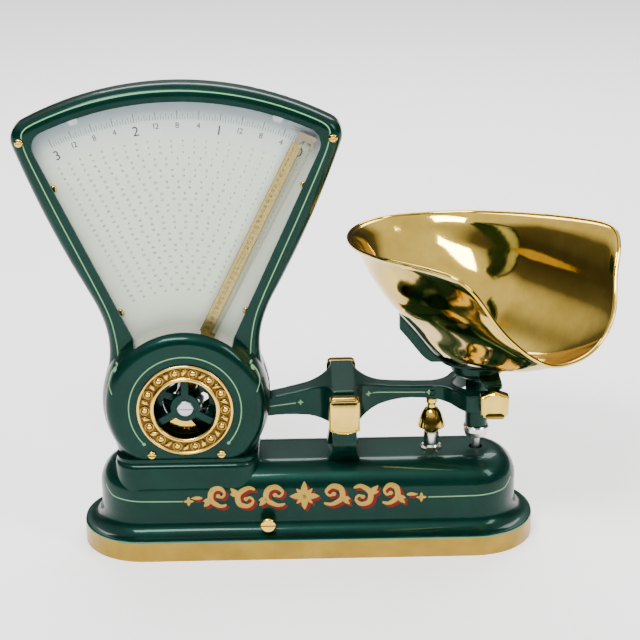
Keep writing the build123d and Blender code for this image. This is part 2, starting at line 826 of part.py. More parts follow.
arm_top = 206
arm_width = 15
arm_reach = 61
arm_growth = 9.5
with BuildPart() as scoop_cradle:
    add(bowl(arm_growth, ring_high - scoop_floor - lift_gap))
    add(bowl(0.6, -0.3), mode=Mode.SUBTRACT)
    with BuildSketch(Plane.XY.offset(ring_high)):
        with Locations((scoop_x, 0)):
            Circle(26)
            Rectangle(2 * arm_reach, arm_width)
        with Locations((scoop_x, arm_reach / 2)):
            Rectangle(arm_width, arm_reach)
    extrude(amount=arm_top - ring_high, mode=Mode.INTERSECT)
save(scoop_cradle.part, "scoop_cradle")

# ---------------------------------------------------------------- check rod and check link
rod_radius = 3.6
rod_pin_z = 30
link_y = 15
link_drop = load_z - fulcrum_z
bracket_x = stem_x - (load_x - fulcrum_x)
bracket_z = rod_pin_z - link_drop
with BuildPart() as stem_collar:
    with BuildSketch(stem_section):
        with BuildLine():
            Polyline((rod_radius, 90.5), (9, 90.5), (9.7, 91.2), (10.4, 95), (11.4, 95.6),
                     (11.4, 99.4), (10.6, stem_low), (rod_radius, stem_low), close=True)
        make_face()
    revolve(axis=stem_axis)
save(stem_collar.part, "stem_collar")

with BuildPart() as check_rod:
    with BuildSketch(Plane.XY.offset(rod_pin_z - 6)):
        with Locations((stem_x, 0)):
            Circle(rod_radius)
    extrude(amount=stem_low - rod_pin_z + 6)
    with BuildSketch(side(10)):
        with Locations((stem_x, rod_pin_z)):
            Circle(2)
    extrude(amount=20, mode=Mode.SUBTRACT)
save(check_rod.part, "check_rod")

with BuildPart() as rod_pin:
    with BuildSketch(side(link_y + 5)):
        with Locations((stem_x, rod_pin_z)):
            Circle(2)
    extrude(amount=link_y + 9)
save(rod_pin.part, "rod_pin")

with BuildPart() as check_link:
    with BuildSketch(side(link_y + 3)):
        with BuildLine():
            Polyline((bracket_x, bracket_z - 4), (stem_x, rod_pin_z - 4), (stem_x, rod_pin_z + 4),
                     (bracket_x, bracket_z + 4), close=True)
        make_face()
        with Locations((bracket_x, bracket_z), (stem_x, rod_pin_z)):
            Circle(6)
        with Locations((bracket_x, bracket_z)):
            Circle(2 + running, mode=Mode.SUBTRACT)
        with Locations((stem_x, rod_pin_z)):
            Circle(2.8, mode=Mode.SUBTRACT)
    extrude(amount=3)
save(check_link.part, "check_link")

with BuildPart() as check_bracket:
    with BuildSketch(Plane.XY.offset(bracket_z - 6)):
        with Locations((bracket_x, link_y + 6.5)):
            Rectangle(13, 5)
    extrude(amount=base_ceiling - bracket_z + 8)
    add(base.part, mode=Mode.SUBTRACT)
    with BuildSketch(side(link_y + 9)):
        with Locations((bracket_x, bracket_z)):
            Circle(2)
    extrude(amount=5, mode=Mode.SUBTRACT)
save(check_bracket.part, "check_bracket")

with BuildPart() as bracket_pin:
    with BuildSketch(side(link_y + 9)):
        with Locations((bracket_x, bracket_z)):
            Circle(2)
    extrude(amount=10)
save(bracket_pin.part, "bracket_pin")

# ---------------------------------------------------------------- dashpot
damper_plan = Plane(origin=(damper_x, 0, 0), x_dir=(1, 0, 0), z_dir=(0, 0, 1))
damper_section = Plane(origin=(damper_x, 0, 0), x_dir=(1, 0, 0), z_dir=(0, -1, 0))
damper_axis = Axis((damper_x, 0, 0), (0, 0, 1))
rod_half = 3
piston_z = 42
with BuildPart() as damper_rod:
    with BuildSketch(damper_plan.offset(piston_z)):
        Circle(rod_half)
    extrude(amount=damper_z - piston_z)
    with BuildSketch(side(3.6, damper_x, damper_z)):
        Circle(3.8)
    extrude(amount=7.2)
    with BuildSketch(side(10, damper_x, damper_z)):
        Circle(2 + running)
    extrude(amount=20, mode=Mode.SUBTRACT)
save(damper_rod.part, "damper_rod")

with BuildPart() as damper_pin:
    with BuildSketch(side(8, damper_x, damper_z)):
        Circle(2)
    extrude(amount=16)
save(damper_pin.part, "damper_pin")

with BuildPart() as damper_piston:
    with BuildSketch(damper_plan.offset(piston_z - 3)):
        Circle(9.6)
    extrude(amount=3)
save(damper_piston.part, "damper_piston")

with BuildPart() as damper_bell:
    with BuildSketch(damper_section):
        with BuildLine():
            neck = Polyline((rod_half, 110), (rod_half, 127.6), (4.2, 127.6), (5, 126.2), (5, 123),
                            (3.9, 120.6), (3.9, 118.2), (6, 116.4))
            dome = Spline(neck @ 1, (8.4, 112.8), (10.6, 108), (11.9, 103), (12.4, 100.9))
            Polyline(dome @ 1, (12, 100), (10.6, 100), (9.4, 104.5), (7, 108.6), (rod_half, 110))
        make_face()
    revolve(axis=damper_axis)
save(damper_bell.part, "damper_bell")

neck_radius = 6.8
with BuildPart() as damper_neck:
    with BuildSketch(damper_section):
        with BuildLine():
            Polyline((5.2, 70), (9, 70), (9, base_height), (9.6, base_height), (9.6, 80.4),
                     (7.8, 81.4), (neck_radius, 83), (neck_radius, 94), (6.2, 95), (5.2, 95), close=True)
        make_face()
    revolve(axis=damper_axis)
save(damper_neck.part, "damper_neck")

with BuildPart() as damper_cylinder:
    with BuildSketch(damper_plan.offset(20)):
        Circle(12)
    extrude(amount=50)
    with BuildSketch(damper_plan.offset(22)):
        Circle(10.4)
    extrude(amount=50, mode=Mode.SUBTRACT)
    with BuildSketch(damper_plan.offset(70)):
        Circle(12)
        Circle(9, mode=Mode.SUBTRACT)
    extrude(amount=base_ceiling - 70)
save(damper_cylinder.part, "damper_cylinder")

# ---------------------------------------------------------------- screw in the base front
adjust_head = 6.7
adjust_seat = 47
with BuildPart() as adjusting_screw:
    with BuildSketch(side(-30, adjust_x, adjust_z)):
        Circle(adjust_shank)
    extrude(amount=adjust_seat - 30)
    with BuildSketch(side(-adjust_seat, adjust_x, adjust_z)):
        Circle(adjust_head)
    extrude(amount=7)
    fillet(adjusting_screw.edges().group_by(Axis.Y)[0], 1.6)
    with BuildSketch(side(-adjust_seat - 5, adjust_x, adjust_z)):
        Rectangle(14, 1.3)
    extrude(amount=4, mode=Mode.SUBTRACT)
save(adjusting_screw.part, "adjusting_screw")
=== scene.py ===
"""Looks of the counter scale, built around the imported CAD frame. Metres, same axes as the CAD."""
import json
from math import cos, pi, radians, sin, sqrt

import bmesh
import bpy
from mathutils import Matrix, Vector
from mathutils.bvhtree import BVHTree


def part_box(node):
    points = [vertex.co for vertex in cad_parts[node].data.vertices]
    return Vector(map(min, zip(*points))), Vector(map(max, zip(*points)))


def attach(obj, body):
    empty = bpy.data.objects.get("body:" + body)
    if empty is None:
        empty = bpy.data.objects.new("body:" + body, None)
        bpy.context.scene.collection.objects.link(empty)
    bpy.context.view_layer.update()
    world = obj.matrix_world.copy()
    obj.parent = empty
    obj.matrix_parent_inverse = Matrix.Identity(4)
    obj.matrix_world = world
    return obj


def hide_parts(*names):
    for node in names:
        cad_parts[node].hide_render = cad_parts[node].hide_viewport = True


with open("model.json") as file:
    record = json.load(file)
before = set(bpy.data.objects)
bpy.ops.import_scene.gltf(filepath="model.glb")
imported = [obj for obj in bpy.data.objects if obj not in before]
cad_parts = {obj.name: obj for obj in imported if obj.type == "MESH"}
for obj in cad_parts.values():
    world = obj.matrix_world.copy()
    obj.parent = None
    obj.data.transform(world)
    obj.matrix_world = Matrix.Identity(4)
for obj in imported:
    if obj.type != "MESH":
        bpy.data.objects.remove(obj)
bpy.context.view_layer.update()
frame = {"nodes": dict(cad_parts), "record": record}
nodes = frame["nodes"]
record = frame["record"]

# ---------------------------------------------------------------- places and sizes, in millimetres
MM = 0.001
SIDES = ((-1, "front"), (1, "rear"))

pendulum_joint = next(j for j in record["behaviour"]["joints"] if j["name"] == "pendulum_turn")
HUB = (pendulum_joint["pos_m"][0] / MM, pendulum_joint["pos_m"][2] / MM)  # middle of the drum and fan
INDEX_REST = pendulum_joint["range_deg"][1] / 2  # degrees clockwise from straight up

GOLD_BAND_TOP, BAND_LINE_HEIGHT = 17.4, 18.0
CHART_REACH = 265
EMBOSSED_FLOOR = 36.9  # where the rings' dark hollows start, from the middle plane

CAP_FACE = 49.9  # points further out than this are on a cap's face
DISH_SHARE = 0.86
CAP_RELIEF = (  # node, body, middle in X and Z, half sizes, how far the face bulges
    ("fulcrum_cap_", "stand", (31.1, 130.2), (13.2, 16.8), 2.4),
    ("load_cap_", "pan", (159.5, 138.4), (11.6, 12), -1.7))

COVER_LINE_LEG = [(117.6, 247.4), (123.6, 243.8), (126.9, 238.4), (125.6, 228), (120, 212.3), (102, 169.8),
                  (83.6, 128.4), (68.9, 95), (61.6, 75.2), (58, 56), (57, 44)]
COVER_LINE_HOOK = [(59.5, 36), (63, 30), (64.6, 23), (62, 15)]
COVER_LINE_TOP = 274
DRUM_LINE = 48.4
BASE_LINES = (  # points of the line, and the cross at its end
    ([(-178, 59), (-174, 53.8), (-168, 51.4), (-140, 50.4), (-110, 50)], (-105, 50)),
    ([(178, 59), (174, 53.8), (168, 51.4), (140, 50.4), (104, 50)], (98, 50)))
SCROLL_MIDDLE = (-4, 53)
SCROLLS = ((17, 1), (43, -1), (68, 1))  # where each scroll starts, and which way up it is

LARGE_PRINT_DEPTH, SMALL_PRINT_DEPTH = 2.6, 2.58
SCALE_END = 25.0  # degrees from straight up to zero, on the right
QUARTERS = 12  # three pounds in quarters
QUARTER_ANGLE = 4.14
FAN_NECK_RADIUS, FAN_NECK_HALF, FAN_SLOPE = 28, 30, 0.4537
PRINT_LIMIT, PRINT_MARGIN = 25.6, 3.2  # degrees
PRICE_ROWS, PRICE_START, PRICE_PITCH, TOP_PRICE = 27, 98, 5.05, 30
PRICE_POUND = 16.6  # degrees to the pound, rounded, for the price figures
INDEX_FOOT = 62

RING_INNER, RING_OUTER, RING_SEAT = 26.5, 41.7, 36.0
INNER_BEAD_END, OUTER_BEAD_START = 29.9, 39.0
RING_BOSSES, BOSS_RADIUS = 14, 34.6
RING_HIGHEST = 3.15
RING_STEPS = 288

SCOOP_MIDDLE, SCOOP_FLOOR = 141.4, 166.3
SCOOP_TURN = radians(51.6)
ALONG, ACROSS = (cos(SCOOP_TURN), -sin(SCOOP_TURN)), (sin(SCOOP_TURN), cos(SCOOP_TURN))
SCOOP_LEVELS = [  # height over the floor, then how far the bowl reaches back, ahead and to each side
    (0, 24, 36, 24), (12, 39, 82, 36), (29, 56, 121, 48), (54, 86, 162, 67), (87, 119, 222, 82),
    (122, 142, 278, 104)]
SCOOP_RIM = [  # the rim's side outline, then the mouth's
    (-150, 259.5), (-118, 261.3), (-85, 264), (-50, 267.6), (-14, 272.2), (20, 277), (53, 280.6), (70, 281.4),
    (80, 280.6), (88, 276.5), (93.5, 270), (96, 262), (98.5, 250), (105, 237), (113, 223), (118.5, 209),
    (121.2, 196)]
SCOOP_LOW, SCOOP_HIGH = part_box("scoop")
SCOOP_TOP_LEVEL = 119.0
SCOOP_COLUMNS, SCOOP_ROWS = 360, 44
SCOOP_WALL = 1.2
LIP_START, LIP_BAND = 238, 30  # the bowl is drawn in from this height, in full after the band
LIP_IN, LIP_OUT, FLARE_BAND = 4.2, 3.8, 10
BEAD, BEAD_SIDES = 1.7, 12


# ---------------------------------------------------------------- node helpers
class Nodes:
    """Short calls to build one material's node tree."""

    def __init__(self, name):
        self.mat = bpy.data.materials.new(name)
        self.mat.use_nodes = True
        self.tree = self.mat.node_tree
        self.shader = self.tree.nodes["Principled BSDF"]

    def add(self, kind, **props):
        """A new node with its properties set."""
        node = self.tree.nodes.new(kind)
        for key, value in props.items():
            setattr(node, key, value)
        return node

    def link(self, a, b):
        self.tree.links.new(a, b)

    def math(self, op, a, b=None, c=None, clamp=False):
        """The result of a sum on numbers or sockets."""
        node = self.add("ShaderNodeMath", operation=op, use_clamp=clamp)
        for i, v in enumerate((a, b, c)):
            if v is None:
                continue
            if isinstance(v, (int, float)):
                node.inputs[i].default_value = v
            else:
                self.link(v, node.inputs[i])
        return node.outputs[0]

    def mix(self, factor, a, b):
        """A colour between a and b; each is a colour or a socket."""
        node = self.add("ShaderNodeMix", data_type="RGBA")
        for socket, v in zip((node.inputs[0], node.inputs[6], node.inputs[7]), (factor, a, b)):
            if isinstance(v, (int, float)):
                socket.default_value = v
            elif isinstance(v, tuple):
                socket.default_value = (*v, 1)
            else:
                self.link(v, socket)
        return node.outputs[2]

    def ramp(self, value, stops):
        """A colour for a value, from stops of place and colour."""
        node = self.add("ShaderNodeValToRGB")
        node.color_ramp.elements[0].position = stops[0][0]
        node.color_ramp.elements[0].color = (*stops[0][1], 1)
        node.color_ramp.elements[1].position = stops[-1][0]
        node.color_ramp.elements[1].color = (*stops[-1][1], 1)
        for place, colour in stops[1:-1]:
            node.color_ramp.elements.new(place).color = (*colour, 1)
        self.link(value, node.inputs[0])
        return node.outputs[0]

    def place(self):
        """The point in the row frame, in millimetres."""
        coords = self.add("ShaderNodeTexCoord")
        scale = self.add("ShaderNodeVectorMath", operation="SCALE")
        self.link(coords.outputs["Object"], scale.inputs[0])
        scale.inputs["Scale"].default_value = 1 / MM
        return scale.outputs[0]

    def noise(self, where, scale, detail=3.0, rough=0.5):
        """Smooth noise about 0.5, with scale in cells to the millimetre."""
        node = self.add("ShaderNodeTexNoise")
        self.link(where, node.inputs["Vector"])
        node.inputs["Scale"].default_value = scale
        node.inputs["Detail"].default_value = detail
        node.inputs["Roughness"].default_value = rough
        return node.outputs[0]

    def bump(self, height, strength, distance):
        """Relief on the shader's surface."""
        node = self.add("ShaderNodeBump")
        node.inputs["Strength"].default_value = strength
        node.inputs["Distance"].default_value = distance
        self.link(height, node.inputs["Height"])
        self.link(node.outputs[0], self.shader.inputs["Normal"])

    def set(self, **values):
        """Sets or links the shader's sockets by short names, and gives back the material."""
        names = {"base": "Base Color", "metal": "Metallic", "rough": "Roughness",
                 "spec": "Specular IOR Level", "coat": "Coat Weight", "coat_rough": "Coat Roughness",
                 "coat_ior": "Coat IOR", "glow": "Emission Strength", "glow_tint": "Emission Color"}
        for key, value in values.items():
            socket = self.shader.inputs[names[key]]
            if isinstance(value, tuple):
                socket.default_value = (*value, 1)
            elif isinstance(value, (int, float)):
                socket.default_value = value
            else:
                self.link(value, socket)
        return self.mat


def enamel(name, band=False):
    """Dark green metallic enamel: fine flake in the paint under a clear coat; a gold band round the foot."""
    n = Nodes(name)
    where = n.place()
    flake = n.add("ShaderNodeTexVoronoi")
    n.link(where, flake.inputs["Vector"])
    flake.inputs["Scale"].default_value = 2.6
    sparkle = n.math("POWER", n.math("FRACT", n.math("MULTIPLY", flake.outputs["Distance"], 5.3)), 4)
    cloud = n.noise(where, 0.035, 4)
    tone = n.ramp(cloud, [(0.3, (0.0002, 0.0042, 0.0034)), (0.7, (0.0005, 0.0110, 0.0082))])
    base = n.mix(n.math("MULTIPLY", sparkle, 0.55), tone, (0.004, 0.125, 0.080))
    rough = n.math("MULTIPLY_ADD", n.noise(where, 0.5, 3), 0.10, 0.28)
    metal = 0.5
    if band:
        height = n.add("ShaderNodeSeparateXYZ")
        n.link(where, height.inputs[0])
        gold = n.math("LESS_THAN", height.outputs[2], GOLD_BAND_TOP)
        off_line = n.math("ABSOLUTE", n.math("SUBTRACT", height.outputs[2], BAND_LINE_HEIGHT))
        line = n.math("LESS_THAN", off_line, 0.55)
        leafy = n.ramp(n.noise(where, 0.06, 4), [(0.3, (0.27, 0.165, 0.018)), (0.7, (0.36, 0.23, 0.030))])
        base = n.mix(line, n.mix(gold, base, leafy), (0.10, 0.26, 0.14))
        rough = n.math("MULTIPLY_ADD", gold, 0.10, rough)
        metal = n.math("MULTIPLY_ADD", gold, 0.15, 0.5)
    n.set(base=base, metal=metal, rough=rough, coat=0.45, coat_rough=0.03, coat_ior=1.31, spec=0.05)
    n.bump(n.noise(where, 0.12, 3), 0.12, 0.3 * MM)
    return n.mat


def brass(name, rough, waves):
    """Polished yellow brass with faint hand-polishing streaks and tarnish clouds."""
    n = Nodes(name)
    where = n.place()
    cloud = n.noise(where, 0.03, 5, 0.6)
    base = n.ramp(cloud, [(0.25, (0.56, 0.36, 0.055)), (0.75, (0.80, 0.56, 0.11))])
    fine = n.noise(where, 0.9, 4, 0.6)
    n.set(base=base, metal=1.0, rough=n.math("MULTIPLY_ADD", fine, 0.06, rough))
    n.bump(n.noise(where, 0.07, 4, 0.55), waves, 0.5 * MM)
    return n.mat


def embossed(name):
    """Brass with dark lacquer left in the hollows of its relief."""
    n = Nodes(name)
    where = n.place()
    depth = n.add("ShaderNodeSeparateXYZ")
    n.link(where, depth.inputs[0])
    high = n.math("SUBTRACT", n.math("ABSOLUTE", depth.outputs[1]), EMBOSSED_FLOOR, clamp=True)
    base = n.ramp(high, [(0.0, (0.09, 0.045, 0.008)), (0.5, (0.38, 0.22, 0.04)), (1.0, (0.72, 0.48, 0.10))])
    fine = n.noise(where, 1.4, 4, 0.6)
    n.set(base=base, metal=1.0, rough=n.math("MULTIPLY_ADD", fine, 0.12, 0.16))
    n.bump(fine, 0.15, 0.15 * MM)
    return n.mat


def steel(name, base, rough):
    """Bright or dull steel with fine turning marks."""
    n = Nodes(name)
    where = n.place()
    cloud = n.noise(where, 0.25, 4)
    tint = n.mix(cloud, tuple(0.8 * c for c in base), base)
    n.set(base=tint, metal=1.0, rough=n.math("MULTIPLY_ADD", n.noise(where, 2.5, 3), 0.12, rough))
    n.bump(n.noise(where, 3.0, 2), 0.08, 0.1 * MM)
    return n.mat


def chart_print(name):
    """Cream plate, cooler and greyer towards the arc at its top."""
    n = Nodes(name)
    where = n.place()
    reach = n.add("ShaderNodeVectorMath", operation="DISTANCE")
    n.link(where, reach.inputs[0])
    reach.inputs[1].default_value = (HUB[0], 0, HUB[1])
    far = n.math("DIVIDE", reach.outputs["Value"], CHART_REACH)
    tone = n.ramp(far, [(0.3, (0.76, 0.79, 0.64)), (0.86, (0.80, 0.83, 0.70)), (0.95, (0.62, 0.68, 0.68)),
                        (1.0, (0.30, 0.38, 0.48))])
    grain = n.noise(where, 0.25, 4)
    n.set(base=n.mix(n.math("MULTIPLY", grain, 0.12), tone, (0.45, 0.44, 0.38)),
          rough=n.math("MULTIPLY_ADD", grain, 0.15, 0.42))
    n.bump(grain, 0.04, 0.1 * MM)
    return n.mat


def clear(name, tint, haze):
    """Thin clear pane: mostly see-through, with a surface reflection that grows at a slant."""
    n = Nodes(name)
    through = n.add("ShaderNodeBsdfTransparent")
    through.inputs[0].default_value = (*tint, 1)
    slant = n.add("ShaderNodeFresnel")
    slant.inputs["IOR"].default_value = 1.45
    blend = n.add("ShaderNodeMixShader")
    n.link(n.math("MULTIPLY_ADD", slant.outputs[0], 0.3, haze, clamp=True), blend.inputs[0])
    n.link(through.outputs[0], blend.inputs[1])
    shine = n.add("ShaderNodeBsdfGlossy")
    n.link(n.math("MULTIPLY_ADD", n.noise(n.place(), 0.02, 2), 0.01, 0.015), shine.inputs["Roughness"])
    n.link(shine.outputs[0], blend.inputs[2])
    n.link(blend.outputs[0], n.tree.nodes["Material Output"].inputs[0])
    n.tree.nodes.remove(n.shader)
    return n.mat


def gold_print(name):
    """Gold printed metal of the index plates."""
    n = Nodes(name)
    grain = n.noise(n.place(), 0.4, 4)
    n.set(base=n.ramp(grain, [(0.3, (0.34, 0.23, 0.05)), (0.7, (0.52, 0.38, 0.12))]), metal=0.7,
          rough=n.math("MULTIPLY_ADD", grain, 0.2, 0.25))
    n.bump(grain, 0.05, 0.1 * MM)
    return n.mat


def flat(name, rgb, rough=0.45, metal=0.0):
    """Paint or print in one colour, a little uneven."""
    n = Nodes(name)
    grain = n.noise(n.place(), 0.8, 3)
    n.set(base=n.mix(grain, tuple(0.78 * c for c in rgb), rgb), metal=metal,
          rough=n.math("MULTIPLY_ADD", grain, 0.12, rough - 0.06), spec=0.15)
    n.bump(grain, 0.06, 0.05 * MM)
    return n.mat


GREEN = enamel("green_enamel")
BASE_GREEN = enamel("green_enamel_gold_band", band=True)
BRASS = brass("polished_brass", 0.06, 0.10)
SCOOP_BRASS = brass("scoop_brass", 0.045, 0.14)
EMBOSSED = embossed("embossed_brass")
STEEL = steel("steel", (0.55, 0.55, 0.56), 0.25)
NICKEL = steel("nickel", (0.72, 0.70, 0.66), 0.12)
IRON = steel("dark_iron", (0.06, 0.06, 0.06), 0.5)
GLASS = clear("window_glass", (0.97, 0.985, 0.98), 0.0)
CLEAR = clear("index_celluloid", (0.86, 0.84, 0.76), 0.02)
INDEX_GOLD = gold_print("index_gold")
CHART = chart_print("chart_print")
LINE = flat("pale_green_line", (0.17, 0.36, 0.17), 0.4)
ARCH = flat("aged_bronze", (0.34, 0.26, 0.17), 0.35, 0.6)
GOLD = flat("gold_leaf", (0.44, 0.275, 0.045), 0.35, 0.3)
RED = flat("red_shadow", (0.15, 0.0035, 0.002), 0.4)
INK = flat("print_ink", (0.035, 0.036, 0.036), 0.6)
PALE_INK = flat("pale_print_ink", (0.09, 0.095, 0.085), 0.6)
DARK_INK = flat("black_ink", (0.02, 0.02, 0.02), 0.5)

slots = {"enamel": GREEN, "brass": BRASS, "steel": STEEL, "nickel": NICKEL, "dark_iron": IRON,
         "printed_chart": CHART, "glass": GLASS, "index_plate": INDEX_GOLD}
for part in record["subparts"]:
    node = nodes[part["node"]]
    node.data.materials.clear()
    node.data.materials.append(slots[part["material_slot"]])
nodes["base"].data.materials[0] = BASE_GREEN
nodes["damper_pin"].data.materials[0] = GREEN


# ---------------------------------------------------------------- shape helpers
def on_screen(thing):
    """The object, linked into the scene."""
    bpy.context.scene.collection.objects.link(thing)
    return thing


def make(name, verts, faces, material, body, smooth=True):
    """A mesh piece from points in millimetres, riding on a body."""
    mesh = bpy.data.meshes.new(name)
    mesh.from_pydata([tuple(c * MM for c in v) for v in verts], [], faces)
    mesh.materials.append(material)
    for face in mesh.polygons:
        face.use_smooth = smooth
    mesh.update()
    piece = on_screen(bpy.data.objects.new(name, mesh))
    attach(piece, body)
    return piece


def welded(mesh):
    """The mesh with its doubled points joined."""
    tool = bmesh.new()
    tool.from_mesh(mesh)
    bmesh.ops.remove_doubles(tool, verts=tool.verts, dist=0.002 * MM)
    tool.to_mesh(mesh)
    tool.free()
    return mesh


def soften(node, body, material, voxel, rounds):
    """A copy of a CAD node with its hard edges rounded over, which stands for it."""
    draft = on_screen(bpy.data.objects.new(node + "_draft", welded(nodes[node].data.copy())))
    skin = draft.modifiers.new("skin", "REMESH")
    skin.mode = "VOXEL"
    skin.voxel_size = voxel * MM
    ease = draft.modifiers.new("ease", "SMOOTH")
    ease.factor = 0.5
    ease.iterations = rounds
    bpy.context.view_layer.update()
    ready = draft.evaluated_get(bpy.context.evaluated_depsgraph_get())
    mesh = bpy.data.meshes.new_from_object(ready)
    bpy.data.objects.remove(draft)
    mesh.materials.clear()
    mesh.materials.append(material)
    for face in mesh.polygons:
        face.use_smooth = True
    piece = on_screen(bpy.data.objects.new(node + "_cast", mesh))
    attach(piece, body)
    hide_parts(node)
    return piece


def surface(mesh):
    """Search tree over a mesh at rest."""
    points = [v.co.copy() for v in mesh.vertices]
    return BVHTree.FromPolygons(points, [tuple(p.vertices) for p in mesh.polygons])


def curve_through(points, step=1.2):
    """Points at even spacing along a smooth curve through the given ones."""
    ends = [points[0]] + list(points) + [points[-1]]
    out = []
    for i in range(1, len(ends) - 2):
        p0, p1, p2, p3 = (Vector(p) for p in ends[i - 1:i + 3])
        count = max(2, int((p2 - p1).length / step))
        for j in range(count):
            t = j / count
            out.append(0.5 * (2 * p1 + (p2 - p0) * t + (2 * p0 - 5 * p1 + 4 * p2 - p3) * t * t
                              + (3 * p1 - p0 - 3 * p2 + p3) * t ** 3))
    out.append(Vector(points[-1]))
    return out


def arc(radius, start, end):
    """Points on a circle round the hub; angles in degrees clockwise from straight up."""
    step = 2.0
    count = max(6, int(abs(end - start) * pi / 180 * radius / step))
    turns = [radians(start + (end - start) * i / count) for i in range(count + 1)]
    return [Vector((HUB[0] + radius * sin(a), HUB[1] + radius * cos(a))) for a in turns]


class Paint:
    """Painted strokes laid on a surface seen along Y, gathered into one mesh."""

    def __init__(self, tree, side=-1, lift=0.1):
        self.tree, self.side, self.lift = tree, side, lift
        self.verts, self.faces = [], []

    def drop(self, x, z, lift):
        """The point on the surface at x and z, lifted off it, or None where the surface ends."""
        start = Vector((x * MM, self.side * 0.3, z * MM))
        hit, normal, _, _ = self.tree.ray_cast(start, Vector((0, -self.side, 0)))
        if hit is None:
            return None
        if normal.y * self.side < 0:
            normal = -normal
        return tuple((hit / MM + normal * lift))

    def stroke(self, path, width, shape=None, shift=(0, 0)):
        """A stroke along a path; shape gives the width's factor from 0 to 1 along it."""
        rows = []
        for i, p in enumerate(path):
            ahead = (path[min(i + 1, len(path) - 1)] - path[max(i - 1, 0)]).normalized()
            across = Vector((-ahead.y, ahead.x))
            half = width / 2 * (shape(i / (len(path) - 1)) if shape else 1)
            row = []
            for share, lift in ((-1, 0.0), (-0.5, self.lift), (0.5, self.lift), (1, 0.0)):
                q = p + across * half * share + Vector(shift)
                spot = self.drop(q.x, q.y, lift + 0.03)
                if spot is None:
                    break
                row.append(spot)
            rows.append(row if len(row) == 4 else None)
        for a, b in zip(rows, rows[1:]):
            if a is None or b is None:
                continue
            base = len(self.verts)
            self.verts += a + b
            self.faces += [(base + k, base + k + 1, base + k + 5, base + k + 4) for k in range(3)]

    def dot(self, x, z, radius, shift=(0, 0)):
        """A round spot."""
        path = [Vector((x, z - radius + 2 * radius * i / 8)) for i in range(9)]
        self.stroke(path, 2 * radius, lambda t: sqrt(max(0.0, 1 - (2 * t - 1) ** 2)) + 0.02, shift)

    def leaf(self, x, z, length, width, heading, shift=(0, 0)):
        """A pointed leaf; heading in degrees from +X, anticlockwise."""
        c, s = cos(radians(heading)), sin(radians(heading))
        path = [Vector((x + c * length * i / 12, z + s * length * i / 12)) for i in range(13)]
        self.stroke(path, width, lambda t: sin(pi * t ** 0.8) ** 0.9 + 0.02, shift)

    def cross(self, x, z, size):
        """A small cross of four leaves."""
        for heading in (0, 90, 180, 270):
            self.leaf(x, z, size, size * 0.55, heading)

    def done(self, name, material, body, slot_name):
        """The gathered strokes as one piece."""
        return make(name, self.verts, self.faces, material, body)


# ---------------------------------------------------------------- softened castings
def shape_cap(cap, middle, half, bulge):
    """A domed face where bulge is positive, a dished one where it is negative."""
    for v in cap.data.vertices:
        if abs(v.co.y) <= CAP_FACE * MM:
            continue
        across, up = (v.co.x / MM - middle[0]) / half[0], (v.co.z / MM - middle[1]) / half[1]
        if bulge > 0:
            sink = bulge * min(1, up * up)
        else:
            sink = -bulge * max(0.0, 1 - (max(abs(across), abs(up)) / DISH_SHARE) ** 4)
        v.co.y -= sink * MM * (1 if v.co.y > 0 else -1)


LEVER = soften("lever", "main_lever", GREEN, 0.7, 9)
soften("pan_holder", "pan", GREEN, 0.7, 6)
soften("scoop_cradle", "pan", GREEN, 0.8, 8)
for _, end in SIDES:
    soften("fulcrum_post_" + end, "stand", GREEN, 0.6, 5)
    for node, body, middle, half, bulge in CAP_RELIEF:
        shape_cap(soften(node + end, body, BRASS, 0.45, 5), middle, half, bulge)


# ---------------------------------------------------------------- painted lines
def from_hub(points, way=1):
    """Points given from the hub, as places in X and Z; way -1 mirrors them to the left."""
    return [(HUB[0] + way * x, HUB[1] + z) for x, z in points]


def paint_cover(side, end):
    """Thin line round the fan's frame and round the drum, with a hook at each foot."""
    paint = Paint(surface(nodes["cover_" + end].data), side)
    for way in (-1, 1):
        paint.stroke(curve_through(from_hub(COVER_LINE_LEG, way)), 0.95)
        paint.dot(HUB[0] + way * 57.4, HUB[1] + 39.6, 1.1)
        paint.stroke(curve_through(from_hub(COVER_LINE_HOOK, way)), 0.8)
        paint.leaf(HUB[0] + way * 57.4, HUB[1] + 38, 5.5, 2.0, 90 - way * 150)
    paint.stroke(arc(COVER_LINE_TOP, -25.4, 25.4), 0.95)
    paint.stroke(arc(DRUM_LINE, -131, 131), 0.95)
    for way in (-1, 1):
        spot = arc(DRUM_LINE, 131, 132)[0]
        paint.dot(HUB[0] + way * (spot.x - HUB[0]), spot.y, 1.4)
    paint.done("cover_lines_" + end, LINE, "stand", "enamel")


def paint_base(side, end):
    """Thin line at each end of the base, ending in a gold cross."""
    lines = Paint(surface(nodes["base"].data), side)
    crosses = Paint(lines.tree, side)
    for points, place in BASE_LINES:
        lines.stroke(curve_through(points), 1.0)
        crosses.cross(*place, 4.6)
    lines.done("base_lines_" + end, LINE, "stand", "enamel")
    crosses.done("base_crosses_" + end, GOLD, "stand", "enamel")


def paint_lever(side, end):
    """Thin line along each arm of the lever."""
    paint = Paint(surface(LEVER.data), side)
    paint.stroke(curve_through([(57, 135.6), (80, 135.2), (103, 134.8)]), 0.9)
    paint.stroke(curve_through([(-82, 117.5), (-50, 122.0), (-10, 127.5)]), 0.9)
    for x, z in ((53.5, 135.6), (106.5, 134.8), (-6, 128.1)):
        paint.cross(x, z, 2.6)
    paint.done("lever_lines_" + end, LINE, "main_lever", "enamel")


def scroll_width(share):
    """Factor on a scroll's width along its length, with a round end."""
    if share >= 0.86:
        return 0.45
    return 0.25 + 0.75 * sin(pi * min(1, share * 1.15)) ** 0.7


